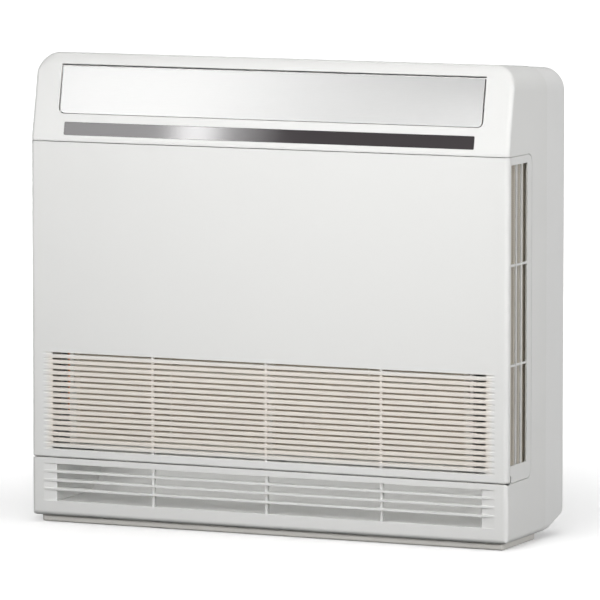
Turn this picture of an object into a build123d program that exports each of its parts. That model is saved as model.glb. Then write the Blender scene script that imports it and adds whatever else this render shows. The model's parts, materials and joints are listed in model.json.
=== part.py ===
# Floor console air conditioner, about 700 mm wide, 641 mm high and 200 mm deep.
# X runs to the right seen from the front, the front faces -Y, and +Z is up.
# The origin is on the floor, under the middle of the case.
from build123d import *
from math import cos, radians, sin
import os

# Outer case
width = 700.0
depth = 200.0
wall = 2.5
half_width = width / 2
inner_half_width = half_width - wall
front_y = -depth / 2
back_y = depth / 2
inner_back_y = back_y - wall
rear_step = 0.8
case_joint_y = 36.0
front_edge_radius = 6.0
body_bottom = 10.0
chamfer_start_y = 40.0
chamfer_top = 28.0
rear_foot_radius = 9.0

# Leaning top section
lean_z = 526.0
lean_angle = 11.3
top_fall = 0.073
rim_depths = (0.0, 1.5, 5.0, 12.0)
rim_heights = (103.0, 109.5, 116.2, 119.8)
rim_radii = (24.0, 27.0, 30.0, 32.0)

# Seams round the front panel
seam_low = 90.0
seam_high = 522.0
seam_gap = 1.0
tab_back_y = -17.5
tab_radius = 12.0
tab_gap = 0.7

# Intake grille in the front panel
slot_count = 18
slot_low = 103.0
slot_pitch = 7.62
slot_height = 2.9
slot_half_length = 318.0
slot_end = 332.0
divider_x = 168.0
divider_width = 3.4

# Lower outlet in the base
outlet_edges = (81.5, 72.2, 69.2, 60.1, 57.1, 48.0, 45.0, 30.5)
outlet_half_length = 312.0
outlet_tip = 20.0
outlet_blade_depth = 9.0

# Screws that hold the two halves of the case
case_screw_x = 334.0
case_screw_heights = (175.0, 370.0, 560.0)
case_screw_head_y = 80.0
case_boss_radius = 5.5

# Side intake grilles
side_slot_front_y = -89.4
side_slot_back_y = -33.1
side_bar_pitch = 17.6
side_bar_width = 3.2
side_slot_low = 113.0
side_slot_high = 511.0
side_plate_front_y = -89.5

# Panel hinge
hinge_y = -93.5
hinge_z = 96.0
hinge_pin_radius = 2.0
hinge_x = 300.0
running_gap = 0.06

# Upper blade, in the leaning frame: depth behind the face, and height above its foot
blade_half_length = 308.5
blade_low = 35.0
blade_high = 99.2
blade_pivot_depth = 15.0
blade_pivot_height = 63.0
blade_pin_radius = 3.0
blade_top_gap = 3.0
blade_end_gap = 2.2
blade_foot_gap = 0.8

# Display window
window_half_length = 300.0
window_low = 5.2
window_high = 22.8
window_depth = 1.6

# Air path
duct_wall = 2.4
plate_front_y = -40.0
plate_back_y = -37.5
casing_back_y = 60.0
fan_z = 292.0
fan_radius = 160.0
orifice_radius = 105.0
upper_duct_half = 312.4
lower_duct_half = 318.0
scroll_low = 126.0
scroll_high = 467.0
scroll_near = 178.0
scroll_far = 300.0

# Turbo fan
fan_blades = 8
fan_back_y = 37.0
shaft_radius = 4.0
motor_radius = 48.0

# Coil
coil_half_length = 238.0
coil_front_y = -74.0
coil_back_y = -44.0
coil_low = 130.0
coil_high = 457.0
tube_radius = 4.5
tube_rows = (-66.5, -51.5)
tubes_per_row = 12
tube_pitch = 27.0
tube_low = 145.0

coil_lug_x = 268.0
coil_lug_heights = (200.0, 400.0)

# Pipes
gas_x = -281.0
gas_z = 250.0
gas_radius = 5.0
liquid_x = -308.0
liquid_z = 262.0
liquid_radius = 3.2
pipe_y = 80.0
union_top = 128.0
drain_radius = 8.0
drain_x = -331.0
drain_z = 104.0
pan_low = 95.0
pan_high = 120.0

# Filters
filter_low = 112.0
filter_high = 430.0
filter_width = 286.0
filter_front_y = -88.0
filter_back_y = -84.0
filter_lip_top = 186.0

# Vanes in the upper duct
vane_pivot_y = -40.0
vane_pin_radius = 2.0
vane_spacing = 92.0
vane_low = 560.0
vane_high = 619.6
vane_front_y = -56.0
vane_rear_y = -18.0
link_pin_y = -24.0
link_pin_radius = 1.2

# Damper in the lower duct
damper_y = 11.0
damper_z = 82.0
damper_chord = 83.0
damper_pin_radius = 3.0

# Control box
box_x = (218.0, 324.0)
box_z = (205.0, 380.0)
cover_screw_x = (226.0, 316.0)
cover_screw_z = (213.0, 372.0)

# Back of the case
wall_hole_x = 280.0
wall_hole_low = 170.0
wall_hole_high = 570.0
wall_hole_radius = 3.25
pipe_window = (-342.0, -232.0, 48.0, 152.0)

side_view = Plane.YZ
front_view = Plane.XZ
lean = radians(lean_angle)
lean_face = Plane(
    origin=(0, front_y, lean_z), x_dir=(1, 0, 0), z_dir=(0, -cos(lean), sin(lean))
)
lean_side = Plane(
    origin=(0, front_y, lean_z), x_dir=(0, cos(lean), -sin(lean)), z_dir=(1, 0, 0)
)
panel_bottom = seam_low + seam_gap / 2
panel_top = seam_high - seam_gap / 2
base_top = seam_low - seam_gap / 2
crown_bottom = seam_high + seam_gap / 2


def save(shape, name):
    export_step(shape, f"parts/{name}.step")


def block(x0, x1, y0, y1, z0, z1):
    return Pos((x0 + x1) / 2, (y0 + y1) / 2, (z0 + z1) / 2) * Box(x1 - x0, y1 - y0, z1 - z0)


def both_sides(shape):
    return shape + mirror(shape, Plane.YZ)


def group(*shapes):
    solids = []
    for shape in shapes:
        solids.extend(shape.solids())
    return Compound(children=solids)


def rod_x(x0, x1, y, z, radius):
    return Pos((x0 + x1) / 2, y, z) * Rot(0, 90, 0) * Cylinder(radius, x1 - x0)


def rod_y(y0, y1, x, z, radius):
    return Pos(x, (y0 + y1) / 2, z) * Rot(90, 0, 0) * Cylinder(radius, y1 - y0)


def rod_z(z0, z1, x, y, radius):
    return Pos(x, y, (z0 + z1) / 2) * Cylinder(radius, z1 - z0)


def across(face, half_length, middle=0.0):
    """Extrude a face of a plane that faces +X to both sides of a middle."""
    return Pos(middle, 0, 0) * extrude(face, half_length, both=True)


def lean_point(behind, up):
    """World Y and Z of a point given behind the leaning face and above its foot."""
    y = front_y + behind * cos(lean) + up * sin(lean)
    z = lean_z - behind * sin(lean) + up * cos(lean)
    return y, z


def polygon(*points):
    return make_face(Polyline(*points, close=True))


def fade_out(half_through, half_face):
    """Room for a slot that is cut through to one length and ramps out to another."""
    slope = (half_face - half_through) / wall
    front = half_face + slope
    back = half_through - 3 * slope
    side = polygon((-front, front_y - 1), (front, front_y - 1),
                   (back, front_y + wall + 3), (-back, front_y + wall + 3))
    return extrude(side, amount=width)


def case_screw_places():
    return [(x, z) for x in (-case_screw_x, case_screw_x) for z in case_screw_heights]


def coil_lug_places():
    return [(x, z) for x in (-coil_lug_x, coil_lug_x) for z in coil_lug_heights]


def cover_screw_places():
    return [(x, z) for x in cover_screw_x for z in cover_screw_z]


def motor_screw_places():
    turns = [radians(angle) for angle in (45, 135, 225, 315)]
    return [(62 * cos(turn), fan_z + 62 * sin(turn)) for turn in turns]


# The outer form. An inset draws it again for the inside of the shell.
def crown(inset):
    """The leaning top section, with its rim rolling over into the falling top."""
    foot = -60.0
    sections = []
    for behind, high, radius in zip(rim_depths, rim_heights, rim_radii):
        top = high - inset
        face = Pos(0, (top + foot) / 2) * Rectangle(2 * (half_width - inset), top - foot)
        face = fillet(face.vertices().group_by(Axis.Y)[-1], radius - inset)
        sections.append((lean_face.offset(-behind - inset) * face).face())
    rim = loft(sections)
    rear = extrude(sections[-1], amount=230.0, dir=(0, 1, -top_fall))
    column = extrude(
        Pos(0, 0, lean_z) * plan(inset), amount=200.0, dir=(0, sin(lean), cos(lean))
    )
    above = block(-width, width, -width, width, lean_z, lean_z + width)
    return (rim + rear) & column & above


def plan(inset):
    """The case seen from above, with rounded front edges, run on past the back."""
    length = 2 * depth - 2 * inset
    outline = RectangleRounded(width - 2 * inset, length, front_edge_radius - 0.8 * inset)
    return (Pos(0, front_y + inset + length / 2) * outline).face()


def envelope(inset):
    foot = body_bottom + inset
    lower = extrude(Pos(0, 0, foot) * plan(inset), amount=lean_z - foot)
    slope = (chamfer_top - body_bottom) / (back_y - chamfer_start_y)
    start = chamfer_start_y - 0.3 * inset
    back = back_y - inset
    side = polygon(
        (front_y, foot),
        (start, foot),
        (back, foot + slope * (back - start)),
        (back, lean_z + width),
        (front_y, lean_z + width),
    )
    side = fillet(side.vertices().sort_by(Axis.X)[:2].sort_by(Axis.Y)[0], 6.0)
    side = fillet(side.vertices().group_by(Axis.X)[-1].sort_by(Axis.Y)[0], rear_foot_radius - inset)
    profile = across(side_view * side, half_width)
    front = Pos(0, lean_z) * Rectangle(width - 2 * inset, 2 * (lean_z - foot))
    front = fillet(front.vertices().group_by(Axis.Y)[0], 7.0 - inset)
    silhouette = extrude(front_view * front, amount=width, both=True)
    return (crown(inset) + lower) & profile & silhouette


# Moulded case
def panel_opening(gap_low, gap_high, back, radius):
    side = polygon(
        (front_y - 10, gap_low), (back, gap_low), (back, gap_high), (front_y - 10, gap_high)
    )
    side = fillet(side.vertices().group_by(Axis.X)[-1], radius)
    return across(side_view * side, half_width + 10)


def outlet_slots():
    slots = []
    room = fade_out(outlet_half_length, outlet_half_length + outlet_tip)
    for high, low in zip(outlet_edges[::2], outlet_edges[1::2]):
        shape = Pos(0, (low + high) / 2) * Rectangle(2 * (outlet_half_length + outlet_tip) + 8, high - low)
        slots.append(extrude(Plane.XZ.offset(-front_y + 1) * shape, amount=-wall - 2) & room)
    return slots


def outlet_bars():
    """Deep blades behind the bars of the lower outlet, and its three dividers."""
    bars = []
    back = front_y + outlet_blade_depth
    for low, high in zip(outlet_edges[2::2], outlet_edges[1::2]):
        blade = polygon((front_y + 1, low), (back, low + 2.4), (back, high + 0.6), (front_y + 1, high))
        bars.append(across(side_view * blade, outlet_half_length + 2.4))
    for x in (-divider_x, 0, divider_x):
        bars.append(block(
            x - divider_width / 2, x + divider_width / 2,
            front_y + 3.5, back, 30.0, 81.4,
        ))
    return bars


def hinge_bracket(x):
    """An arm that reaches forward to the hinge pin, over the panel's turning foot."""
    lug = rod_x(x - 3, x + 3, hinge_y, hinge_z, 3.6)
    lug += block(x - 3, x + 3, hinge_y, -82, hinge_z - 3, hinge_z + 3.6)
    lug += block(x - 3, x + 3, -86, -82, base_top - 4, hinge_z + 3.6)
    return lug - rod_x(x - 5, x + 5, hinge_y, hinge_z, hinge_pin_radius + running_gap)


def front_case():
    shell = envelope(0) - envelope(wall)
    shell &= block(-width, width, -width, case_joint_y, 0, width)
    shell -= panel_opening(base_top, crown_bottom, tab_back_y + tab_gap, tab_radius + tab_gap)
    # shelves that close the top section and the base behind their seams
    shell += block(-inner_half_width, inner_half_width, front_y + wall, front_y + 14, crown_bottom, crown_bottom + 2.4)
    shell += block(-inner_half_width, inner_half_width, front_y + 1.5, -55, base_top - 5, base_top - 2.6)
    # relief that the panel's foot turns in
    shell -= block(-340, 340, front_y + 2, front_y + 6, base_top - 2.6, base_top + 1)
    shell -= block(-width, width, front_y + 1.8, front_y + 11, base_top - 1.5, base_top + 1)
    # flange that the side grilles seat on
    for side in (-1, 1):
        outer = block(345, inner_half_width, front_y + 14, tab_back_y + 8, base_top - 5, crown_bottom + 5)
        inner = block(340, 350, -110, tab_back_y - 6, base_top + 4, crown_bottom - 4)
        rebate = outer - inner
        shell += rebate if side > 0 else mirror(rebate, Plane.YZ)
    # blade opening
    low = blade_low - blade_foot_gap
    high = blade_high + blade_top_gap
    opening = Pos(0, (low + high) / 2) * Rectangle(2 * (blade_half_length + blade_end_gap), high - low)
    opening = fillet(opening.vertices().group_by(Axis.Y)[0], 8.0)
    shell -= extrude(lean_face.offset(2) * opening, amount=-9)
    # pocket for the display window, with a light slot through its floor
    pocket = Pos(0, (window_low + window_high) / 2) * RectangleRounded(
        2 * window_half_length + 0.4, window_high - window_low + 0.4, 1.6
    )
    shell -= extrude(lean_face.offset(1) * pocket, amount=-1 - window_depth)
    light = Pos(0, (window_low + window_high) / 2) * Rectangle(2 * window_half_length - 16, 7)
    shell -= extrude(lean_face.offset(1) * light, amount=-8)
    for slot in outlet_slots():
        shell -= slot
    for bar in outlet_bars():
        shell += bar
    for x in (-hinge_x + 8, hinge_x - 8):
        shell += hinge_bracket(x)
    # bosses for the screws that hold the rear cabinet
    for x, z in case_screw_places():
        boss = rod_y(18, case_joint_y, x, z, case_boss_radius)
        web = sorted((x, x * (half_width - 2) / case_screw_x))
        boss += block(*web, 20, case_joint_y, z - 1.2, z + 1.2)
        shell += boss - rod_y(10, case_joint_y + 1, x, z, 1.7)
    return shell


def rear_cabinet():
    shell = Pos(0, rear_step, 0) * (envelope(rear_step) - envelope(rear_step + wall))
    shell &= block(-width, width, case_joint_y, width, 0, width)
    # bosses that carry the case screws
    for x, z in case_screw_places():
        shell += rod_y(case_joint_y, inner_back_y + 0.5, x, z, case_boss_radius)
        shell -= rod_y(case_joint_y - 1, back_y + 1, x, z, 1.75)
        shell -= rod_y(case_screw_head_y, back_y + 1, x, z, 4.0)
    # stiffening ribs across the inside of the back
    for z in (190, 330, 470, 600):
        shell += block(-322, 322, 91, back_y - 1, z - 1, z + 1)
    for x in (-222, 0, 222):
        shell += block(x - 1, x + 1, 91, back_y - 1, 160, 605)
    # raised pads round the wall-fixing holes
    for x in (-wall_hole_x, wall_hole_x):
        for z in (wall_hole_low, wall_hole_high):
            shell += rod_y(93, back_y - 1, x, z, 11)
            shell -= rod_y(85, back_y + 1, x, z, wall_hole_radius)
    x0, x1, z0, z1 = pipe_window
    window = Pos((x0 + x1) / 2, (z0 + z1) / 2) * RectangleRounded(x1 - x0, z1 - z0, 10)
    shell -= extrude(Plane.XZ.offset(-back_y - 1) * window, amount=12)
    # the window runs on through the sloping foot, so pipes may also leave downwards
    shell -= block(x0, x1, 62, back_y + 1, 0, z0 + 12)
    # knock-out for a cable gland on the other side
    ring = Pos(290, 95) * (Circle(20) - Circle(18.4))
    shell -= extrude(Plane.XZ.offset(-back_y - 1) * ring, amount=2.2)
    return shell


def side_filter():
    """A sheet of filter net in a thin frame, behind the right-hand grille."""
    x = half_width - 5.8
    frame = block(x - 1.6, x, -84, tab_back_y - 6.5, 104, 516)
    frame -= block(x - 3, x + 1, -81, tab_back_y - 12, 108, 512)
    for z in (242, 378):
        frame += block(x - 1.4, x - 0.2, -82, tab_back_y - 11, z - 1.5, z + 1.5)
    return frame + block(x - 1.1, x - 0.5, -82, tab_back_y - 11, 107, 513)


def base_plinth():
    outer = block(-340, 340, front_y + 10, 22, 0, body_bottom)
    outer = fillet(outer.edges().filter_by(Axis.Z).group_by(Axis.Y)[0], 4.0)
    outer = fillet(outer.edges().filter_by(Axis.Y).group_by(Axis.Z)[0], 3.0)
    for x0, x1 in ((-332, -172), (-164, -4), (4, 164), (172, 332)):
        outer -= block(x0, x1, front_y + 18, 14, 3, body_bottom + 1)
    return outer


# Front panel, which carries the intake grille
def outside_foot(point):
    return point.Y < front_y + 2.2 or abs(point.X) > half_width - 0.1


def front_panel():
    outer = extrude(Pos(0, 0, panel_bottom) * plan(0), amount=panel_top - panel_bottom)
    inner = extrude(plan(wall), amount=width)
    skin = (outer - inner) & block(-width, width, front_y - 1, front_y + 10, 0, width)
    foot = skin.edges().filter_by(
        lambda edge: edge.center().Z < panel_bottom + 0.1 and outside_foot(edge.center())
    )
    skin = fillet(foot, 2.3)
    skin += block(-inner_half_width, inner_half_width, front_y + wall, front_y + 10, panel_top - 2.2, panel_top)
    skin += block(-288, 288, front_y + wall, front_y + 7, panel_bottom, panel_bottom + 2.2)
    for z in (244.0, 340.0, 436.0):
        skin += block(-340, 340, front_y + wall, front_y + 5.5, z, z + 2)
    room = fade_out(slot_half_length, slot_end)
    for index in range(slot_count):
        shape = Pos(0, slot_low + index * slot_pitch) * Rectangle(2 * slot_end + 8, slot_height)
        cut = Plane.XZ.offset(-front_y + 1) * shape
        skin -= extrude(cut.face(), amount=wall + 2.5, dir=(0, 1, 0.22)) & room
    # uprights that carry the slats
    for x in (-divider_x, 0, divider_x):
        x0, x1 = x - divider_width / 2, x + divider_width / 2
        skin += block(x0, x1, front_y + wall, front_y + 5.5, panel_bottom, panel_top)
        skin += block(x0, x1, front_y + 1, front_y + wall, slot_low - 5, slot_low + slot_count * slot_pitch)
    for side in (-1, 1):
        lug = block(side * hinge_x - 4, side * hinge_x + 4,
                    front_y + wall, hinge_y + 4, hinge_z - 4, hinge_z + 4)
        skin += lug
        inward = side * (hinge_x - 4)
        stub = rod_x(min(inward, inward - side * 8), max(inward, inward - side * 8),
                     hinge_y, hinge_z, hinge_pin_radius)
        skin += stub
    # catches that snap into the top section
    for x in (-250, 250):
        skin += block(x - 8, x + 8, front_y + 6, front_y + 9.5, panel_top - 14, panel_top - 2)
    return skin


def side_grille():
    """The right-hand intake grille, a plate set in the case behind the panel's edge."""
    low = panel_bottom
    high = panel_top
    side = polygon(
        (side_plate_front_y, low), (tab_back_y, low), (tab_back_y, high), (side_plate_front_y, high)
    )
    side = fillet(side.vertices().group_by(Axis.X)[-1], tab_radius)
    plate = extrude(Plane.YZ.offset(half_width - wall) * side, amount=wall)
    plate -= block(340, 360, side_plate_front_y - 1, side_slot_back_y, side_slot_low, side_slot_high)
    for index in (1, 2):
        bar_back = side_slot_back_y - index * side_bar_pitch
        plate += block(half_width - wall, half_width, bar_back - side_bar_width, bar_back,
                       side_slot_low, side_slot_high)
    third = (side_slot_high - side_slot_low) / 3
    for z in (side_slot_low + third, side_slot_low + 2 * third):
        plate += block(half_width - wall, half_width - 0.8, side_slot_front_y, side_slot_back_y,
                       z - 1.5, z + 1.5)
    # the panel's foot turns past this corner
    plate -= block(half_width - 10, half_width + 10, side_plate_front_y - 1, -86.5, low - 1, 99.8)
    # stile tucked behind the panel's return
    stile = block(half_width - 5.4, half_width - 2.9, -93, -85.5, low + 10, high - 5)
    stile += block(half_width - 5.4, half_width - wall, -89.2, -85.5, low + 10, high - 5)
    return plate + stile


# Upper outlet
def upper_blade():
    """A shallow bowed plate on three ears, hung on a pin at each end."""
    middle = (blade_low + blade_high) / 2
    front = ThreePointArc((1.4, blade_low - 2), (0.2, middle), (1.2, blade_high))
    rear = ThreePointArc((3.2, blade_high), (2.6, middle), (4.2, blade_low - 2))
    section = make_face([front, Line(front @ 1, rear @ 0), rear, Line(rear @ 1, front @ 0)])
    outline = Pos(0, (blade_low + blade_high + 10) / 2) * Rectangle(
        2 * blade_half_length, blade_high + 10 - blade_low
    )
    outline = fillet(outline.vertices().group_by(Axis.Y)[0], 7.0)
    plate = across(lean_side * section, blade_half_length + 3)
    plate &= extrude(lean_face.offset(1) * outline, amount=-8)
    ear_profile = make_hull([
        *(Pos(blade_pivot_depth, blade_pivot_height) * Circle(5.5)).edges(),
        *(Pos(3.5, blade_pivot_height - 14) * Circle(0.8)).edges(),
        *(Pos(3.5, blade_pivot_height + 14) * Circle(0.8)).edges(),
    ])
    for x in (-301.5, 0, 301.5):
        plate += across(lean_side * ear_profile, 1.5, x)
    pivot_y, pivot_z = lean_point(blade_pivot_depth, blade_pivot_height)
    for side in (-1, 1):
        start, end = sorted((side * 302.5, side * 319))
        plate += rod_x(start, end, pivot_y, pivot_z, blade_pin_radius)
    return plate


def display_window():
    face = Pos(0, (window_low + window_high) / 2) * RectangleRounded(
        2 * window_half_length, window_high - window_low, 1.4
    )
    return extrude(lean_face.offset(-0.1) * face, amount=-window_depth + 0.1)


def display_board():
    middle = (window_low + window_high) / 2 - 0.6
    board = Pos(0, middle) * Rectangle(170, 13)
    board = extrude(lean_face.offset(-6.5) * board, amount=-1.6)
    for x in (-70, 70):
        board += extrude(lean_face.offset(-2.5) * (Pos(x, middle + 5.2) * Circle(1.2)), amount=-4.0)
        board += extrude(lean_face.offset(-2.5) * (Pos(x, middle - 5.2) * Circle(1.2)), amount=-4.0)
    for x in (-36, -24, -12, 0, 12):
        board += extrude(lean_face.offset(-4.6) * (Pos(x, middle) * Circle(1.5)), amount=-1.9)
    receiver = Pos(34, middle) * Rectangle(7, 6)
    board += extrude(lean_face.offset(-3.4) * receiver, amount=-3.1)
    return board


def upper_front_path():
    return FilletPolyline(
        (plate_back_y, 520), (plate_back_y, 533), (-60, 547.5), (-88.5, 547.5), radius=14
    )


def upper_rear_path():
    return FilletPolyline(
        (casing_back_y, scroll_high), (casing_back_y, 621.5), (-76, 621.5), radius=72
    )


def end_wall(first, second, plane_offset, thickness):
    outline = make_face([
        *first.edges(),
        Line(first @ 1, second @ 1),
        *second.edges(),
        Line(second @ 0, first @ 0),
    ])
    return extrude(Plane.YZ.offset(plane_offset) * outline, amount=thickness)


def upper_duct():
    front = upper_front_path()
    rear = upper_rear_path()
    shell = across(side_view * make_face(offset(front, duct_wall, side=Side.LEFT)), upper_duct_half)
    shell += across(side_view * make_face(offset(rear, duct_wall, side=Side.RIGHT)), upper_duct_half)
    shell += end_wall(front, rear, upper_duct_half - duct_wall, duct_wall)
    shell += end_wall(front, rear, -upper_duct_half, duct_wall)
    pivot_y, pivot_z = lean_point(blade_pivot_depth, blade_pivot_height)
    for x in (-313.1, 313.1):
        shell += rod_x(x - 3.1, x + 3.1, pivot_y, pivot_z, 5.5)
        shell -= rod_x(x - 9, x + 9, pivot_y, pivot_z, blade_pin_radius + running_gap)
    for x in vane_places():
        shell += rod_z(620.5, 626.5, x, vane_pivot_y, 4.5)
        shell -= rod_z(615, 630, x, vane_pivot_y, vane_pin_radius + running_gap)
    return shell


def vane_places():
    places = []
    for side in (-1, 1):
        for index in range(3):
            places.append(side * (vane_spacing * index + 56.0))
    return sorted(places)


def vane(x):
    plate = polygon(
        (vane_front_y + 6, vane_low), (vane_rear_y, vane_low), (vane_rear_y, vane_high - 8),
        (vane_rear_y - 8, vane_high), (vane_front_y, vane_high), (vane_front_y, vane_low + 6),
    )
    body = extrude(Plane.YZ.offset(x - 0.9) * plate, amount=1.8)
    body += rod_z(vane_low, vane_high, x, vane_pivot_y, 2.4)
    body += rod_z(vane_high, 626.0, x, vane_pivot_y, vane_pin_radius)
    body += rod_z(552.0, vane_low, x, link_pin_y, link_pin_radius)
    return body


def vane_link(places):
    bar = block(min(places) - 5, max(places) + 5, link_pin_y - 3, link_pin_y + 3, 555.0, 557.6)
    bar = fillet(bar.edges().filter_by(Axis.Z), 2.9)
    for x in places:
        bar -= rod_z(550, 560, x, link_pin_y, link_pin_radius + running_gap)
    return bar


# Lower outlet
def lower_front_path():
    return FilletPolyline((plate_back_y, 100), (plate_back_y, 81.9), (-90.6, 81.9), radius=14)


def lower_rear_path():
    return FilletPolyline(
        (casing_back_y, scroll_low), (casing_back_y, 29.5), (-90.6, 29.5), radius=66
    )


def lower_duct():
    front = lower_front_path()
    rear = lower_rear_path()
    shell = across(side_view * make_face(offset(front, 2.3, side=Side.RIGHT)), lower_duct_half)
    shell += across(side_view * make_face(offset(rear, duct_wall, side=Side.LEFT)), lower_duct_half)
    shell += end_wall(front, rear, lower_duct_half - duct_wall, duct_wall)
    shell += end_wall(front, rear, -lower_duct_half, duct_wall)
    shell -= rod_x(-330, 330, damper_y, damper_z, damper_pin_radius + running_gap)
    return shell


def lower_damper():
    half = damper_chord / 2
    section = make_hull([
        *(Pos(damper_y, damper_z) * Circle(4.6)).edges(),
        *(Pos(damper_y - half + 1, damper_z) * Circle(1.0)).edges(),
        *(Pos(damper_y + half - 1, damper_z) * Circle(1.0)).edges(),
    ])
    flap = across(side_view * section, 312)
    return flap + rod_x(-321, 324, damper_y, damper_z, damper_pin_radius)


# Fan and casing
def bell_mouth():
    """A flared ring that sits in the air plate's hole, with a flange on its front."""
    r = orifice_radius
    mouth = polygon(
        (r + 20, plate_front_y - 1.6), (r + 20, plate_front_y), (r + 8.6, plate_front_y),
        (r + 4.2, plate_back_y + 4), (r + 2.4, plate_back_y + 9), (r + 2.4, -24.5), (r, -24.5),
        (r, plate_back_y + 8), (r + 2.2, plate_front_y + 5), (r + 6.4, plate_front_y),
        (r + 11, plate_front_y - 1.6),
    )
    return Pos(0, 0, fan_z) * revolve(Plane.XY * mouth, Axis.Y)


def air_plate():
    """The wall between the coil and the fan."""
    plate = block(-320, 320, plate_front_y, plate_back_y, 100, 520)
    plate -= rod_y(-50, -30, 0, fan_z, orifice_radius + 9)
    for x, z, radius in ((gas_x, gas_z, 11), (liquid_x, liquid_z, 9)):
        plate -= rod_y(-50, -30, x, z, radius)
    # lugs that carry the coil
    for x, z in coil_lug_places():
        plate += block(x - 7, x + 7, -44, plate_front_y, z - 8, z + 8)
        plate -= rod_y(-50, -30, x, z, 1.6)
    return plate


def scroll_wall():
    """One side of the casing: an arc that opens the same way to the top and the bottom."""
    half_chord = (scroll_high - scroll_low) / 2
    wall_arc = ThreePointArc(
        (scroll_far, scroll_low), (scroll_near, fan_z), (scroll_far, scroll_high)
    )
    section = make_face(offset(wall_arc, duct_wall, side=Side.RIGHT))
    return extrude(Plane.XZ.offset(-casing_back_y) * section, amount=casing_back_y - plate_back_y)


def fan_casing():
    """The back of the fan's casing, which carries the motor."""
    back = block(-303, 303, casing_back_y, casing_back_y + duct_wall, scroll_low, scroll_high)
    pocket_arc = ThreePointArc(
        (scroll_far + 2.5, scroll_low), (scroll_near + 2.5, fan_z), (scroll_far + 2.5, scroll_high)
    )
    pocket = make_face([
        pocket_arc, Line(pocket_arc @ 1, (320, scroll_high)),
        Line((320, scroll_high), (320, scroll_low)), Line((320, scroll_low), pocket_arc @ 0),
    ])
    cut = extrude(Plane.XZ.offset(-casing_back_y - 5) * pocket, amount=10)
    back -= both_sides(cut)
    back -= rod_y(50, 70, 0, fan_z, motor_radius + 3)
    for x, z in motor_screw_places():
        back -= rod_y(50, 70, x, z, 1.6)
    return back


def blade_section(angle):
    """A backward-curved blade seen along the fan's axis."""
    lean_back = 46.0
    points = []
    for part in (0.0, 0.5, 1.0):
        radius = 88.0 + part * (fan_radius - 2.0 - 88.0)
        turn = radians(angle + lean_back * part ** 0.85)
        points.append((radius * cos(turn), radius * sin(turn)))
    line = ThreePointArc(*points)
    return make_face(offset(line, 2.2, side=Side.LEFT))


def turbo_fan():
    r = fan_radius
    hub = polygon(
        (r, fan_back_y - 2.4), (r, fan_back_y), (74, fan_back_y), (58, 8), (52, 0.5), (13, -2.5),
        (13, 2), (4.0, 2), (4.0, -12), (11, -12), (13, -6), (54, -3), (62, 6), (76, fan_back_y - 2.4),
    )
    disc = revolve(Plane.XY * hub, Axis.Y)
    ring = polygon(
        (r - 46, -27), (r - 48, -27), (r - 47.6, -22), (r - 30, -13), (r, -6), (r, -8.2), (r - 30, -15.2),
        (r - 45, -23),
    )
    shroud = revolve(Plane.XY * ring, Axis.Y)
    room = polygon(
        (76, fan_back_y - 2.2), (r, fan_back_y - 2.2), (r, -6.4), (r - 30, -13.4), (r - 47, -20.5),
        (88, -20.5), (64, 6),
    )
    swept = revolve(Plane.XY * room, Axis.Y)
    blades = []
    for index in range(fan_blades):
        face = blade_section(index * 360 / fan_blades)
        tall = extrude(Plane.XZ.offset(-fan_back_y) * face, amount=70)
        blades.append(tall & swept)
    fan = disc + shroud
    for item in blades:
        fan += item
    return Pos(0, 0, fan_z) * fan


def motor_shaft():
    return rod_y(-20, 50, 0, fan_z, shaft_radius)


def fan_nut():
    nut = extrude(Plane.XZ.offset(12.0) * (Pos(0, fan_z) * RegularPolygon(8, 6)), amount=6)
    return nut - rod_y(-25, 0, 0, fan_z, shaft_radius)


def fan_motor():
    can = rod_y(10, 62.4, 0, fan_z, motor_radius)
    can = fillet(can.edges().group_by(Axis.Y)[0], 7.0)
    can += rod_y(6, 12, 0, fan_z, 12)
    can -= rod_y(0, 52, 0, fan_z, shaft_radius + running_gap)
    for index in range(12):
        turn = radians(index * 30)
        x = (motor_radius + 0.2) * cos(turn)
        z = fan_z + (motor_radius + 0.2) * sin(turn)
        can -= rod_y(26, 50, x, z, 1.8)
    return can


def motor_bracket():
    plate = rod_y(62.4, 65, 0, fan_z, 46)
    plate -= rod_y(60, 70, 0, fan_z, 20)
    for angle in (45, 135, 225, 315):
        plate += Pos(0, 63.7, fan_z) * Rot(0, -angle, 0) * Pos(54, 0, 0) * Box(32, 2.6, 14)
    for x, z in motor_screw_places():
        plate -= rod_y(60, 70, x, z, 1.65)
    return plate


def screw_y(x, y, z, direction, shank=1.5, head=3.2, length=8.0):
    """A pan-head screw along Y, with its head on the side that direction points to."""
    start, end = sorted((y, y - direction * length))
    body = rod_y(start, end, x, z, shank)
    start, end = sorted((y, y + direction * 2.0))
    cap = rod_y(start, end, x, z, head)
    outer = -1 if direction > 0 else 0
    cap = chamfer(cap.edges().group_by(Axis.Y)[outer], 0.8)
    return body + cap


def motor_screws():
    return group(*[screw_y(x, 65, z, 1, 1.5, 3.0, 5.0) for x, z in motor_screw_places()])


def case_screws():
    return group(*[
        screw_y(x, case_screw_head_y, z, 1, 1.6, 3.4, 58.0) for x, z in case_screw_places()
    ])


def coil_screws():
    return group(*[screw_y(x, -46, z, -1, 1.5, 3.2, 8.0) for x, z in coil_lug_places()])


# Coil and its water tray
def coil_fins():
    block_fins = block(-coil_half_length, coil_half_length, coil_front_y, coil_back_y, coil_low, coil_high)
    count = 46
    pitch = 2 * coil_half_length / count
    grooves = []
    for index in range(count):
        x = -coil_half_length + (index + 0.5) * pitch
        grooves.append(block(x - pitch * 0.3, x + pitch * 0.3, coil_front_y - 1, coil_front_y + 3,
                             coil_low - 1, coil_high + 1))
        grooves.append(block(x - pitch * 0.3, x + pitch * 0.3, coil_back_y - 3, coil_back_y + 1,
                             coil_low - 1, coil_high + 1))
    return block_fins - grooves


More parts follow.
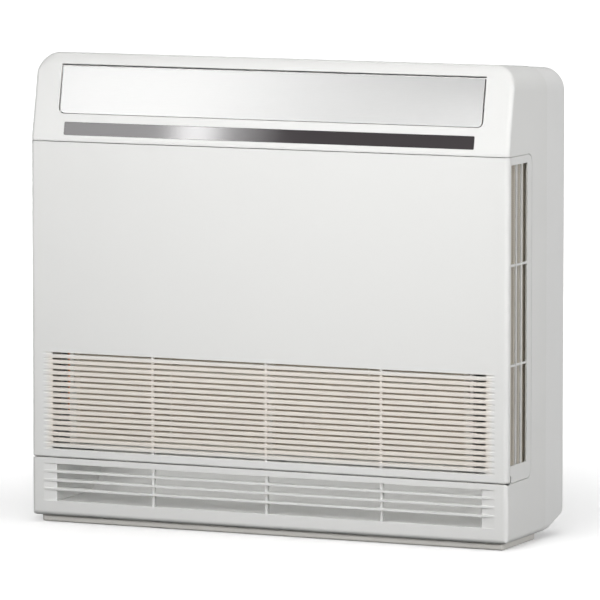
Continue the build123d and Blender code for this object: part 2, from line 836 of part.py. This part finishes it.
def coil_end_plates():
    plates = []
    for side in (-1, 1):
        inner = side * coil_half_length
        outer = side * (coil_half_length + 1.5)
        x0, x1 = sorted((inner, outer))
        plate = block(x0, x1, coil_front_y - 2, -44, coil_low - 4, coil_high + 4)
        tab0, tab1 = sorted((outer - side * 0.5, side * (coil_lug_x + 7)))
        for z in coil_lug_heights:
            tab = block(tab0, tab1, -46, -44, z - 8, z + 8)
            plate += tab - rod_y(-50, -40, side * coil_lug_x, z, 1.6)
        plates.append(plate)
    return group(*plates)


def tube_z(index):
    return tube_low + index * tube_pitch


def bend(side, y, z0, z1):
    """A U-bend that joins two tube ends beyond an end plate."""
    start = side * (coil_half_length + 1.5)
    run = side * 4.0
    reach = (z1 - z0) / 2
    path = Line((start, y, z0), (start + run, y, z0))
    arc = ThreePointArc(
        (start + run, y, z0), (start + run + side * reach, y, (z0 + z1) / 2), (start + run, y, z1)
    )
    back = Line((start + run, y, z1), (start, y, z1))
    wire = Wire([path, arc, back])
    section = Plane(origin=(start, y, z0), z_dir=(side, 0, 0)) * Circle(tube_radius)
    return sweep(section, path=wire)


def coil_bends():
    bends = []
    for y in tube_rows:
        for index in range(0, tubes_per_row - 1, 2):
            bends.append(bend(1, y, tube_z(index), tube_z(index + 1)))
        for index in range(1, tubes_per_row - 2, 2):
            bends.append(bend(-1, y, tube_z(index), tube_z(index + 1)))
    return group(*bends)


def pipe(points, radii, radius, first_direction):
    path = FilletPolyline(*points, radius=radii)
    section = Plane(origin=points[0], z_dir=first_direction) * Circle(radius)
    return sweep(section, path=path)


def gas_pipe():
    start = -(coil_half_length + 1.5)
    z0 = tube_z(0)
    return pipe(
        [(start, tube_rows[1], z0), (gas_x, tube_rows[1], z0), (gas_x, tube_rows[1], gas_z),
         (gas_x, pipe_y, gas_z), (gas_x, pipe_y, union_top)],
        [12, 14, 18], gas_radius, (-1, 0, 0),
    )


def liquid_pipe():
    start = -(coil_half_length + 1.5)
    z0 = tube_z(0)
    return pipe(
        [(start, tube_rows[0], z0), (liquid_x, tube_rows[0], z0),
         (liquid_x, tube_rows[0], liquid_z), (liquid_x, pipe_y, liquid_z),
         (liquid_x, pipe_y, union_top)],
        [12, 14, 18], liquid_radius, (-1, 0, 0),
    )


def flare_union(x, y, top, pipe_radius, nut_flats, thread_radius):
    nut = extrude(Pos(x, y, top - 18) * RegularPolygon(nut_flats / 2, 6, major_radius=False), amount=18)
    thread = rod_z(top - 34, top - 18, x, y, thread_radius)
    cap_cone = Pos(x, y, top - 36) * Cone(pipe_radius + 0.6, thread_radius - 0.6, 4)
    return nut + thread + cap_cone


def flare_unions():
    return group(
        flare_union(gas_x, pipe_y, union_top, gas_radius, 22.0, 8.0),
        flare_union(liquid_x, pipe_y, union_top, liquid_radius, 17.0, 5.5),
    )


def drain_pan():
    outer = block(-266, 266, -79, plate_front_y, pan_low, pan_high)
    inner = block(-264, 264, -77, -42, pan_low + 2, pan_high + 4)
    pan = outer - inner
    pan -= rod_x(-280, -260, -60, drain_z, 5.0)
    return pan


def drain_spout():
    start = (-266, -60, drain_z)
    path = FilletPolyline(start, (drain_x, -60, drain_z), (drain_x, 86, drain_z), radius=20)
    section = Plane(origin=start, z_dir=(-1, 0, 0))
    tube = sweep(section * Circle(drain_radius), path=path)
    hollow = sweep(section * Circle(drain_radius - 2.2), path=path)
    return tube - hollow


# Filters
def filter_rails():
    rails = []
    for x in (-291.5, 291.5):
        outer = block(x - 5, x + 5, -90.5, -80.5, 104, 516)
        inward = -1 if x > 0 else 1
        slot = block(*sorted((x, x + inward * 8)), -88.4, -83.6, 110.5, 530)
        rail = outer - slot
        for z in (128, 300, 500):
            rail += block(x - 4, x + 4, -81, plate_front_y, z, z + 3)
        rails.append(rail)
    centre = block(-5, 5, -90.5, -80.5, 104, 516)
    centre -= block(-8, -1.2, -88.4, -83.6, 110.5, 530)
    centre -= block(1.2, 8, -88.4, -83.6, 110.5, 530)
    for z in (468, 500):
        centre += block(-4, 4, -81, plate_front_y, z, z + 3)
    rails.append(centre)
    rails.append(block(-291, -5, -90.5, -88.9, 104, 110))
    rails.append(block(5, 291, -90.5, -88.9, 104, 110))
    frame = rails[0]
    for rail in rails[1:]:
        frame += rail
    # only the lower ends have a front lip, so a lifted filter comes free
    return frame - block(-300, 300, -91, -88.4, filter_lip_top, 520)


def filter_span(side):
    low, high = sorted((side * 2.0, side * 289.6))
    return low, high


def filter_frame(side):
    low, high = filter_span(side)
    frame = block(low, high, filter_front_y, filter_back_y, filter_low, filter_high)
    middle = (low + high) / 2
    frame -= block(low + 7, middle - 1.5, -90, -80, filter_low + 7, filter_high - 12)
    frame -= block(middle + 1.5, high - 7, -90, -80, filter_low + 7, filter_high - 12)
    for z in (215, 320):
        frame += block(low + 6, high - 6, -87.2, -84.8, z - 1.5, z + 1.5)
    frame += block(middle - 20, middle + 20, filter_front_y, -86, filter_high, filter_high + 12)
    return frame


def filter_mesh(side):
    low, high = filter_span(side)
    middle = (low + high) / 2
    pieces = []
    rows = ((filter_low + 7, 213.5), (216.5, 318.5), (321.5, filter_high - 12))
    for z0, z1 in rows:
        pieces.append(block(low + 7, middle - 1.5, -86.4, -85.6, z0, z1))
        pieces.append(block(middle + 1.5, high - 7, -86.4, -85.6, z0, z1))
    return group(*pieces)


# Electrical parts
def control_box():
    x0, x1 = box_x
    z0, z1 = box_z
    box = block(x0, x1, -34, 54, z0, z1)
    box -= block(x0 + 2.4, x1 - 2.4, -31.6, 60, z0 + 2.4, z1 - 2.4)
    for z in (230, 340):
        box += block(x0, x1 - 6, plate_back_y, -34, z, z + 20)
    for x, z in cover_screw_places():
        box += rod_y(-31.6, 54, x, z, 4.0) - rod_y(30, 60, x, z, 1.5)
    return box


def control_cover():
    cover = block(box_x[0] - 1, box_x[1] + 1, 54, 56.4, box_z[0] - 1, box_z[1] + 1)
    for x, z in cover_screw_places():
        cover -= rod_y(50, 60, x, z, 1.7)
    for z in range(250, 340, 10):
        slot = Pos(271, z) * SlotOverall(46, 4)
        cover -= extrude(Plane.XZ.offset(-60) * slot, amount=10)
    return cover


def cover_screws():
    return group(*[screw_y(x, 56.4, z, 1, 1.4, 3.0, 9.0) for x, z in cover_screw_places()])


def control_board():
    board = block(231, 311, -24, -22.4, 220, 365)
    for x in (236, 306):
        for z in (226, 359):
            board += rod_y(-31.6, -24, x, z, 2.5)
    board += block(242, 274, -22.4, 4, 300, 332)
    board += rod_y(-22.4, 6, 292, 330, 8)
    board += rod_y(-22.4, 2, 292, 308, 6.5)
    for index in range(3):
        board += block(240 + index * 20, 254 + index * 20, -22.4, -8, 262, 280)
    board += block(252, 272, -22.4, -19, 234, 252)
    for index in range(4):
        board += block(281, 302, -22.4, -14, 232 + index * 14, 240 + index * 14)
    return board


def terminal_block():
    base = block(246, 318, 67.8, 80, 130, 152)
    for index in range(5):
        x = 253 + index * 14
        base -= block(x - 5, x + 5, 74, 84, 134, 148)
        base += rod_y(72, 77, x, 141, 3.4)
    base += block(240, 324, 64.8, 67.8, 126, 156)
    return base


def terminal_bracket():
    plate = block(240, 324, 62.4, 64.8, 120, 160)
    plate += block(240, 246, 64.8, inner_back_y, 156.5, 160)
    plate += block(318, 324, 64.8, inner_back_y, 156.5, 160)
    return plate


def stepper(x0, x1, y, z):
    can = rod_x(x0, x1, y, z, 12)
    can += block(x0, x0 + 1.2, y - 3.5, y + 3.5, z - 21, z + 21)
    can += block(x0 + 3, x1 - 1, y + 8, y + 17, z - 8, z + 8)
    return can


def blade_motor():
    y, z = lean_point(blade_pivot_depth, blade_pivot_height)
    body = stepper(320.0, 339.0, y, z)
    return body + (rod_x(316.6, 320.0, y, z, 8) - rod_x(300, 320, y, z, blade_pin_radius + running_gap))


def damper_motor():
    body = stepper(325.0, 344.0, damper_y, damper_z)
    collar = rod_x(318.2, 325.0, damper_y, damper_z, 8)
    collar -= rod_x(300, 326, damper_y, damper_z, damper_pin_radius + running_gap)
    return body + collar


def room_sensor():
    clip = block(300, 318, -62, plate_front_y, 182, 186)
    return clip + rod_y(-70, -50, 309, 189, 3.0)


def duct_foam():
    """Foam on the outside of the upper duct's back wall."""
    return block(-300, 300, casing_back_y + duct_wall, casing_back_y + duct_wall + 5, 478, 540)


os.makedirs("parts", exist_ok=True)
save(front_case(), "front_case")
save(rear_cabinet(), "rear_cabinet")
save(base_plinth(), "base_plinth")
save(front_panel(), "front_panel")
grille = side_grille()
save(grille, "side_grille_right")
save(mirror(grille, Plane.YZ), "side_grille_left")
net = side_filter()
save(net, "side_filter_right")
# the left-hand net is notched round the drain
save(mirror(net, Plane.YZ) - block(-width, -330, -45, 0, 90, 126), "side_filter_left")
save(upper_blade(), "upper_blade")
save(display_window(), "display_window")
save(display_board(), "display_board")
save(upper_duct(), "upper_duct")
save(lower_duct(), "lower_duct")
save(lower_damper(), "lower_damper")
places = vane_places()
for number, x in enumerate(places, start=1):
    save(vane(x), f"air_vane_{number}")
save(vane_link(places[:3]), "vane_link_left")
save(vane_link(places[3:]), "vane_link_right")
save(bell_mouth(), "bell_mouth")
save(air_plate(), "air_plate")
scroll = scroll_wall()
save(scroll, "scroll_wall_right")
save(mirror(scroll, Plane.YZ), "scroll_wall_left")
save(fan_casing(), "fan_casing")
save(turbo_fan(), "turbo_fan")
save(motor_shaft(), "motor_shaft")
save(fan_nut(), "fan_nut")
save(fan_motor(), "fan_motor")
save(motor_bracket(), "motor_bracket")
save(motor_screws(), "motor_screws")
save(case_screws(), "case_screws")
save(coil_screws(), "coil_screws")
save(coil_fins(), "coil_fins")
save(coil_end_plates(), "coil_end_plates")
save(coil_bends(), "coil_bends")
save(gas_pipe(), "gas_pipe")
save(liquid_pipe(), "liquid_pipe")
save(flare_unions(), "flare_unions")
save(drain_pan(), "drain_pan")
save(drain_spout(), "drain_spout")
save(filter_rails(), "filter_rails")
for side, word in ((-1, "left"), (1, "right")):
    save(filter_frame(side), f"filter_frame_{word}")
    save(filter_mesh(side), f"filter_mesh_{word}")
save(control_box(), "control_box")
save(control_cover(), "control_cover")
save(cover_screws(), "cover_screws")
save(control_board(), "control_board")
save(terminal_bracket(), "terminal_bracket")
save(terminal_block(), "terminal_block")
save(blade_motor(), "blade_motor")
save(damper_motor(), "damper_motor")
save(room_sensor(), "room_sensor")
save(duct_foam(), "duct_foam")
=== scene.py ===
import json
from math import cos, pi, radians, sin

import bpy
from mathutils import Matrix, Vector


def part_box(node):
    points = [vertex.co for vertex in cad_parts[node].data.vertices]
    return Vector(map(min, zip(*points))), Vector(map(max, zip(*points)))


# Floor console air conditioner: finishes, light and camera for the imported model
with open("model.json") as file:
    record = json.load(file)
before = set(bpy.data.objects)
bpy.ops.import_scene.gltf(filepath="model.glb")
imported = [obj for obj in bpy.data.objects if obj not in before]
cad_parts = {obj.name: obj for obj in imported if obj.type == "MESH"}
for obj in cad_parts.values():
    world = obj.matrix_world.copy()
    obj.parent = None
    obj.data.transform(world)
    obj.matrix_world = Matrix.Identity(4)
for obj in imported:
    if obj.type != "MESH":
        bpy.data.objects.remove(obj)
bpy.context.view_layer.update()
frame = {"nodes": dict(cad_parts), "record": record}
nodes = frame["nodes"]

# Camera, from the case's corners in the photograph
view_turn = radians(24.10)
view_rise = radians(6.18)
view_distance = 8.129
view_target = Vector((0.0062, 0.0, 0.3099))
image_size = 600
focal_px = 6015.0
sensor_mm = 36.0


def add_camera():
    data = bpy.data.cameras.new("camera")
    data.sensor_fit = "HORIZONTAL"
    data.sensor_width = sensor_mm
    data.lens = sensor_mm * focal_px / image_size
    data.clip_end = 100.0
    toward = Vector((sin(view_turn) * cos(view_rise), -cos(view_turn) * cos(view_rise), sin(view_rise)))
    camera = bpy.data.objects.new("camera", data)
    camera.location = view_target + view_distance * toward
    camera.rotation_euler = (-toward).to_track_quat("-Z", "Y").to_euler()
    bpy.context.scene.collection.objects.link(camera)
    bpy.context.scene.camera = camera


def grey(level):
    return (level, level, level)


# Materials: lengths in metres, texture scales in features per metre
case_colour = (0.80, 0.80, 0.785)
# Warm tint painted on the intake slats: painted reflected light from the beige filters behind them
slat_bounce_tint = (0.83, 0.775, 0.71)
plastic_roughness = 0.5
plastic_specular = 0.4
plastic_edge = 0.0006
grain_height = 0.00006
grain_scale = 1400.0
patch_scale = 22.0
gloss_spread = 0.04
metal_edge = 0.0004
net_pitch = 0.0024
noise_low = 0.3
noise_high = 0.7


class Surface:
    """A node material built from noise, bump and a principled shader."""

    def __init__(self, name, colour, roughness, metallic=0.0, specular=0.5):
        self.material = bpy.data.materials.new(name)
        self.material.use_nodes = True
        self.tree = self.material.node_tree
        self.shader = self.tree.nodes["Principled BSDF"]
        self.shader.inputs["Base Color"].default_value = (*colour, 1.0)
        self.shader.inputs["Roughness"].default_value = roughness
        self.shader.inputs["Metallic"].default_value = metallic
        self.shader.inputs["Specular IOR Level"].default_value = specular
        self.colour = colour
        self.roughness = roughness
        self.place = self.node("ShaderNodeTexCoord").outputs["Object"]
        self.normal = None

    def node(self, kind, **values):
        made = self.tree.nodes.new(kind)
        for key, value in values.items():
            setattr(made, key, value)
        return made

    def link(self, source, target):
        self.tree.links.new(source, target)

    def math(self, operation, first, second=None):
        made = self.node("ShaderNodeMath", operation=operation)
        for socket, value in zip(made.inputs, (first, second)):
            if value is None:
                continue
            if isinstance(value, (int, float)):
                socket.default_value = value
            else:
                self.link(value, socket)
        return made.outputs[0]

    def axes(self):
        """The place's coordinates, by the letters X, Y and Z."""
        made = self.node("ShaderNodeSeparateXYZ")
        self.link(self.place, made.inputs[0])
        return made.outputs

    def noise(self, scale, detail=2.0, stretch=(1.0, 1.0, 1.0)):
        mapping = self.node("ShaderNodeMapping")
        mapping.inputs["Scale"].default_value = stretch
        self.link(self.place, mapping.inputs["Vector"])
        made = self.node("ShaderNodeTexNoise")
        made.inputs["Scale"].default_value = scale
        made.inputs["Detail"].default_value = detail
        self.link(mapping.outputs[0], made.inputs["Vector"])
        return made.outputs["Fac"]

    def ramp(self, value, stops):
        made = self.node("ShaderNodeValToRGB")
        elements = made.color_ramp.elements
        while len(elements) < len(stops):
            elements.new(0.5)
        for element, (position, colour) in zip(elements, stops):
            element.position = position
            element.color = (*colour, 1.0)
        self.link(value, made.inputs[0])
        return made.outputs[0]

    def tint(self, value, low, high):
        """Colour that varies with a value between two multiples of the base colour."""
        dark = tuple(channel * low for channel in self.colour)
        light = tuple(min(1.0, channel * high) for channel in self.colour)
        blend = self.ramp(value, ((noise_low, dark), (noise_high, light)))
        self.link(blend, self.shader.inputs["Base Color"])

    def gloss(self, value, spread):
        """Roughness that varies with a value by the spread, both ways."""
        made = self.node("ShaderNodeMapRange")
        made.inputs["From Min"].default_value = noise_low
        made.inputs["From Max"].default_value = noise_high
        made.inputs["To Min"].default_value = self.roughness - spread
        made.inputs["To Max"].default_value = self.roughness + spread
        self.link(value, made.inputs["Value"])
        self.link(made.outputs[0], self.shader.inputs["Roughness"])

    def bump(self, value, height, strength=1.0):
        made = self.node("ShaderNodeBump")
        made.inputs["Distance"].default_value = height
        made.inputs["Strength"].default_value = strength
        self.link(value, made.inputs["Height"])
        if self.normal is not None:
            self.link(self.normal, made.inputs["Normal"])
        self.normal = made.outputs[0]
        self.link(self.normal, self.shader.inputs["Normal"])

    def soften(self, radius):
        """Rounds every edge a little in the shading."""
        made = self.node("ShaderNodeBevel", samples=6)
        made.inputs["Radius"].default_value = radius
        self.normal = made.outputs[0]
        self.link(self.normal, self.shader.inputs["Normal"])

    def grained(self, edge, grain, spread):
        """The skin of moulded plastic: soft edges, uneven gloss and a fine grain."""
        if edge:
            self.soften(edge)
        self.gloss(self.noise(patch_scale, 4.0), spread)
        self.bump(self.noise(grain_scale, 2.0), grain, 0.35)


def moulded(
    name, colour, roughness=plastic_roughness, edge=plastic_edge, grain=grain_height,
    spread=gloss_spread, specular=plastic_specular,
):
    """Moulded plastic with a faint cloudy tint."""
    surface = Surface(name, colour, roughness, specular=specular)
    surface.tint(surface.noise(7.0, 3.0), 0.985, 1.01)
    surface.grained(edge, grain, spread)
    return surface.material


def brushed(name, colour, roughness, stretch=(1.0, 60.0, 60.0)):
    """Bare metal with drawn lines that run along the axis with the smallest stretch."""
    surface = Surface(name, colour, roughness, metallic=1.0)
    surface.soften(metal_edge)
    lines = surface.noise(30.0, 3.0, stretch)
    surface.tint(lines, 0.95, 1.04)
    surface.gloss(lines, 0.06)
    surface.bump(lines, 0.00002, 0.4)
    return surface.material


def satin_paint(name, colour, roughness):
    """Silver paint with a fine grain drawn along the piece."""
    surface = Surface(name, colour, roughness, metallic=0.11, specular=0.8)
    surface.soften(metal_edge)
    lines = surface.noise(60.0, 3.0, (1.0, 40.0, 40.0))
    surface.tint(lines, 0.975, 1.02)
    surface.gloss(lines, 0.03)
    surface.bump(lines, 0.00001, 0.4)
    return surface.material


def netting(name, colour):
    """A woven net: threads cross at the pitch, lighter and higher where they run."""
    surface = Surface(name, colour, 0.7, specular=plastic_specular)
    place = surface.axes()
    across = surface.math("ADD", place["X"], place["Y"])
    threads = []
    for way in (across, place["Z"]):
        wave = surface.math("COSINE", surface.math("MULTIPLY", way, 2 * pi / net_pitch))
        threads.append(surface.math("ADD", surface.math("MULTIPLY", wave, 0.5), 0.5))
    woven = surface.math("MAXIMUM", *threads)
    uneven = surface.math("MULTIPLY", surface.noise(30.0, 3.0), 0.2)
    surface.tint(surface.math("ADD", woven, uneven), 0.82, 1.10)
    surface.bump(woven, 0.0002, 0.6)
    return surface.material


finishes = {
    "case_white": moulded("case_white", case_colour),
    # The rear cabinet's white is lighter than the case's: painted light, for the rear of the side that looks
    # lighter under the studio light
    "rear_white": moulded("rear_white", (0.83, 0.83, 0.82)),
    "plinth_white": moulded("plinth_white", (0.72, 0.70, 0.66)),
    "inner_white": moulded("inner_white", (0.70, 0.69, 0.66)),
    "vane_white": moulded("vane_white", (0.78, 0.78, 0.76)),
    # The duct's white is lighter than the case's: painted light, brightening the outlet's interior beyond the
    # light that reaches it
    "duct_grey": moulded("duct_grey", (0.90, 0.90, 0.885)),
    "fan_grey": moulded("fan_grey", (0.30, 0.31, 0.32)),
    "motor_black": moulded("motor_black", (0.03, 0.03, 0.03)),
    "terminal_black": moulded("terminal_black", (0.03, 0.03, 0.032), 0.45),
    "soft_grey": moulded("soft_grey", (0.32, 0.32, 0.31), 0.6),
    "foam": moulded("foam", (0.05, 0.05, 0.055), 0.9, edge=0.0, grain=0.0006),
    "filter_frame": moulded("filter_frame", (0.58, 0.54, 0.47)),
    "filter_mesh": netting("filter_mesh", (0.42, 0.36, 0.29)),
    # A lighter copy of the filter net: painted light, brightening what shows through the side grilles
    "side_mesh": netting("side_mesh", (0.56, 0.52, 0.45)),
    "green_board": moulded("green_board", (0.02, 0.16, 0.06), 0.3),
    "dark_window": moulded(
        "dark_window", (0.064, 0.057, 0.060), 0.07, edge=0.0004, grain=0.00001, spread=0.005, specular=0.5
    ),
    "satin_silver": satin_paint("satin_silver", (0.42, 0.42, 0.417), 0.34),
    "steel": brushed("steel", (0.55, 0.56, 0.57), 0.35),
    "galvanised": brushed("galvanised", (0.62, 0.64, 0.66), 0.42),
    "fin_aluminium": brushed("fin_aluminium", (0.76, 0.78, 0.80), 0.33, (60.0, 60.0, 1.0)),
    "copper": brushed("copper", (0.80, 0.40, 0.24), 0.3),
    "brass_union": brushed("brass_union", (0.72, 0.54, 0.26), 0.28),
}


def slatted(name, half_length, low, high, fade):
    """The case's plastic, with painted reflected light from the filters: a warm tint on the slats between the
    grille's ends and edges.
    """
    surface = Surface(name, case_colour, plastic_roughness, specular=plastic_specular)
    surface.grained(plastic_edge, grain_height, gloss_spread)
    place = surface.axes()
    ends = surface.math("SUBTRACT", half_length, surface.math("ABSOLUTE", place["X"]))
    middle = (low + high) / 2
    away = surface.math("ABSOLUTE", surface.math("SUBTRACT", place["Z"], middle))
    edges = surface.math("SUBTRACT", (high - low) / 2, away)
    share = surface.math("DIVIDE", surface.math("MINIMUM", ends, edges), fade)
    blend = surface.ramp(share, ((0.0, case_colour), (1.0, slat_bounce_tint)))
    surface.link(blend, surface.shader.inputs["Base Color"])
    return surface.material


def dress_nodes():
    """Gives every node the finish of its slot, and two kinds of node their own."""
    slots = {row["node"]: row["material_slot"] for row in frame["record"]["subparts"]}
    for name, part in nodes.items():
        part.data.materials.clear()
        part.data.materials.append(finishes[slots[name]])
    # The front panel's slats carry painted reflected light: the filters' warm tint, fading out at the
    # grille's ends and edges
    panel_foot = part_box("front_panel")[0].z
    nodes["front_panel"].data.materials[0] = slatted(
        "case_white_slat_bounce", half_length=0.330, low=panel_foot + 0.0098, high=panel_foot + 0.1460, fade=0.012
    )
    # The side filters get the lighter copy of the net: painted light on what shows through the side grilles
    for name in ("side_filter_left", "side_filter_right"):
        nodes[name].data.materials[0] = finishes["side_mesh"]


# Studio
def add_floor(reach=30.0, near=0.3, far=1.5, dim=0.22):
    """A pale floor whose own glow rises from dim near the object to full white far from it."""
    mesh = bpy.data.meshes.new("floor")
    corners = [(-reach, -reach, 0), (reach, -reach, 0), (reach, reach, 0), (-reach, reach, 0)]
    mesh.from_pydata(corners, [], [(0, 1, 2, 3)])
    floor = bpy.data.objects.new("floor", mesh)
    bpy.context.scene.collection.objects.link(floor)
    surface = Surface("floor", (0.9, 0.9, 0.9), 0.9, specular=0.0)
    surface.tint(surface.noise(3.0), 0.995, 1.005)
    distance = surface.node("ShaderNodeVectorMath", operation="LENGTH")
    surface.link(surface.place, distance.inputs[0])
    share = surface.math("DIVIDE", distance.outputs["Value"], 2 * far)
    glow = surface.ramp(share, ((near / (2 * far), grey(dim)), (0.5, grey(1.0))))
    surface.link(glow, surface.shader.inputs["Emission Color"])
    surface.shader.inputs["Emission Strength"].default_value = 1.0
    mesh.materials.append(surface.material)
    floor.visible_diffuse = False


def add_card(name, centre, aim, size, watts):
    data = bpy.data.lights.new(name, "AREA")
    data.shape = "RECTANGLE"
    data.size, data.size_y = size
    data.energy = watts
    light = bpy.data.objects.new(name, data)
    light.location = centre
    light.rotation_euler = (Vector(aim) - Vector(centre)).to_track_quat("-Z", "Y").to_euler()
    bpy.context.scene.collection.objects.link(light)
    return light


def light_only(light, *lit):
    """Keeps a light to the named CAD nodes, and returns their collection."""
    group = bpy.data.collections.new(light.name + " receivers")
    for node in lit:
        group.objects.link(nodes[node])
    light.light_linking.receiver_collection = group
    return group


def add_world(seen, mirrored, lighting):
    """A white room: full to the camera, less in reflections, and dim as a light."""
    world = bpy.data.worlds.new("studio")
    world.use_nodes = True
    tree = world.node_tree
    background = tree.nodes["Background"]
    background.inputs["Color"].default_value = (1.0, 1.0, 1.0, 1.0)
    rays = tree.nodes.new("ShaderNodeLightPath")
    level = lighting
    for kind, wanted in (("Is Glossy Ray", mirrored), ("Is Camera Ray", seen)):
        mix = tree.nodes.new("ShaderNodeMix")
        tree.links.new(rays.outputs[kind], mix.inputs["Factor"])
        if isinstance(level, float):
            mix.inputs["A"].default_value = level
        else:
            tree.links.new(level, mix.inputs["A"])
        mix.inputs["B"].default_value = wanted
        level = mix.outputs["Result"]
    tree.links.new(level, background.inputs["Strength"])
    bpy.context.scene.world = world


def add_overhead(strength, softness):
    data = bpy.data.lights.new("overhead", "SUN")
    data.energy = strength
    data.angle = softness
    light = bpy.data.objects.new("overhead", data)
    bpy.context.scene.collection.objects.link(light)


def add_reflector(name, centre, facing, size, stops, strength):
    """A glowing board that only reflections see. Its stops run across its width."""
    mesh = bpy.data.meshes.new(name)
    half_w, half_h = size[0] / 2, size[1] / 2
    mesh.from_pydata(
        [(-half_w, -half_h, 0), (half_w, -half_h, 0), (half_w, half_h, 0), (-half_w, half_h, 0)],
        [], [(0, 1, 2, 3)],
    )
    board = bpy.data.objects.new(name, mesh)
    board.location = centre
    board.rotation_euler = Vector(facing).to_track_quat("Z", "Y").to_euler()
    bpy.context.scene.collection.objects.link(board)
    surface = Surface(name, (0.0, 0.0, 0.0), 1.0)
    along = surface.math("ADD", surface.math("DIVIDE", surface.axes()["X"], -size[0]), 0.5)
    glow = surface.ramp(along, stops)
    surface.link(glow, surface.shader.inputs["Emission Color"])
    surface.shader.inputs["Emission Strength"].default_value = strength
    mesh.materials.append(surface.material)
    board.visible_camera = False
    board.visible_diffuse = False
    board.visible_shadow = False


def mirrored_view(lean):
    """Where a ray from the camera goes after the leaning face has mirrored it."""
    ray = Vector((-sin(view_turn) * cos(view_rise), cos(view_turn) * cos(view_rise), -sin(view_rise)))
    face = Vector((0.0, -cos(lean), sin(lean)))
    return ray - 2.0 * ray.dot(face) * face


def add_window_reflector(lean=radians(11.3), distance=1.5, size=(1.6, 1.3), strength=21.5):
    """Puts the board where the leaning display window mirrors it to the camera."""
    low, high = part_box("display_window")
    seen = mirrored_view(lean)
    highlight = (
        (0.00, grey(0.0)), (0.10, grey(0.225)), (0.39, grey(0.295)), (0.413, grey(1.0)),
        (0.430, grey(1.0)), (0.454, grey(0.32)), (0.508, grey(0.0)),
    )
    add_reflector("reflector", (low + high) / 2 + distance * seen, -seen, size, highlight, strength)


def add_studio():
    """Room, floor, soft sun and cards, with powers fitted to the object's brightness in the photograph."""
    add_floor()
    add_world(seen=1.0, mirrored=0.85, lighting=0.0)
    add_overhead(1.12, radians(100.0))
    bpy.context.scene.view_settings.view_transform = "Standard"
    add_window_reflector()
    add_card("key", centre=(0.85, -1.25, 1.45), aim=(0.15, 0.0, 0.35), size=(0.9, 0.9), watts=4.0)
    add_card("front", centre=(0.1, -1.6, 0.75), aim=(0.0, 0.0, 0.4), size=(0.8, 0.6), watts=18.2)
    add_card("right", centre=(3.5, -0.5, 1.0), aim=(0.35, 0.0, 0.3), size=(2.0, 2.0), watts=61.0)
    inside = add_card("inside", centre=(-0.5, -1.8, 0.15), aim=(0.0, 0.0, 0.06), size=(1.6, 0.3), watts=20.5)
    light_only(inside, "lower_duct", "lower_damper")
    outer = (
        "front_case", "front_panel", "side_grille_left", "side_grille_right", "base_plinth",
        "upper_blade", "display_window", "lower_duct", "lower_damper",
    )
    inner = [name for name in nodes if name not in outer]
    # Light that the white interior passes on: it reaches the inner nodes past the outer ones
    behind = add_card("behind", centre=(0.0, -1.8, 0.45), aim=(0.0, 0.0, 0.2), size=(0.7, 0.5), watts=6.0)
    behind.light_linking.blocker_collection = light_only(behind, *inner)
    back = add_card("back", centre=(0.0, 3.0, 0.3), aim=(0.0, 0.0, 0.3), size=(0.7, 0.5), watts=42.0)
    light_only(back, "base_plinth", *inner)
    add_card("left", centre=(-3.0, 1.2, 0.32), aim=(-0.35, 0.0, 0.3), size=(1.8, 0.6), watts=40.0)


add_camera()
dress_nodes()
add_studio()
